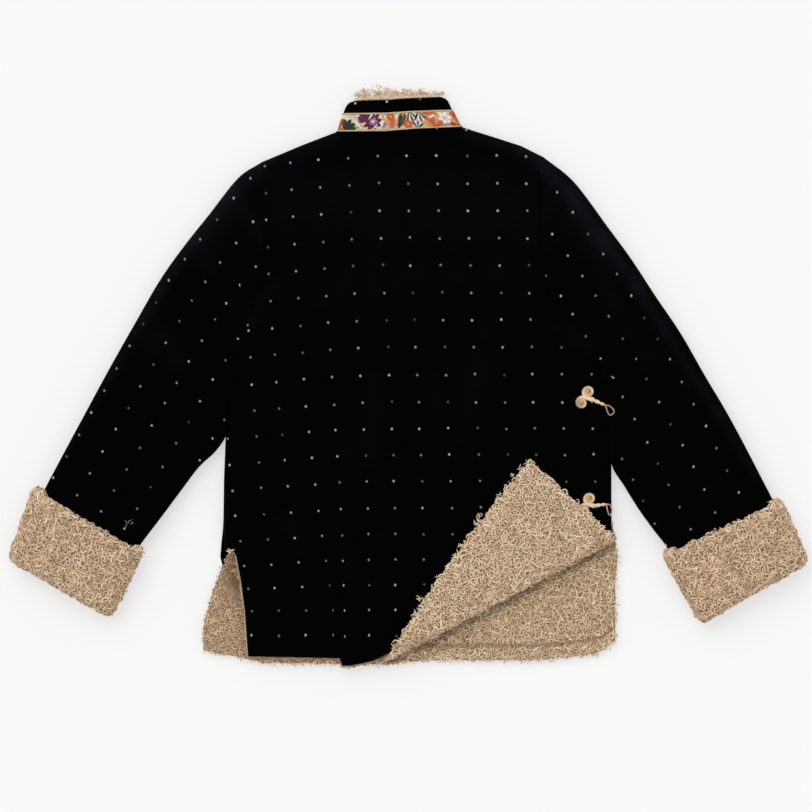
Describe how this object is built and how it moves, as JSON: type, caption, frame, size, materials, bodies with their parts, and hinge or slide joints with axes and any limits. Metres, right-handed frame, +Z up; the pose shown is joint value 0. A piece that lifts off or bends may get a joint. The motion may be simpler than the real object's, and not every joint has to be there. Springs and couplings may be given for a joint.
{
  "type": "tibetan fleece-lined side-fastening jacket",
  "caption": "Short side-fastening jacket of dotted black wool with curly fleece lining and cuffs, laid face down with one back corner turned up.",
  "frame": {"origin": "middle of the jacket's outline in plan, on the surface that it lies on", "axes": "+X across the open sleeves towards the fastened side, +Y from hem to collar, +Z up from the surface, out of the back"},
  "size_m": [0.9963, 0.7266, 0.0355],
  "materials": {
    "wool_black": "matte",
    "fleece_tan": "matte",
    "brocade_ribbon": "satin",
    "satin_cord": "satin"
  },
  "bodies": {
    "root": {"back_panel": "wool_black", "back_lining": "fleece_tan", "front_overlap": "wool_black", "front_under": "wool_black", "front_lining": "fleece_tan", "sleeve_left": "wool_black", "sleeve_right": "wool_black", "sleeve_lining_left": "fleece_tan", "sleeve_lining_right": "fleece_tan", "cuff_left": "fleece_tan", "cuff_right": "fleece_tan", "collar": "wool_black", "collar_lining": "fleece_tan", "collar_ribbon": "brocade_ribbon", "frog_upper": "satin_cord", "frog_lower": "satin_cord"}
  },
  "joints": []
}
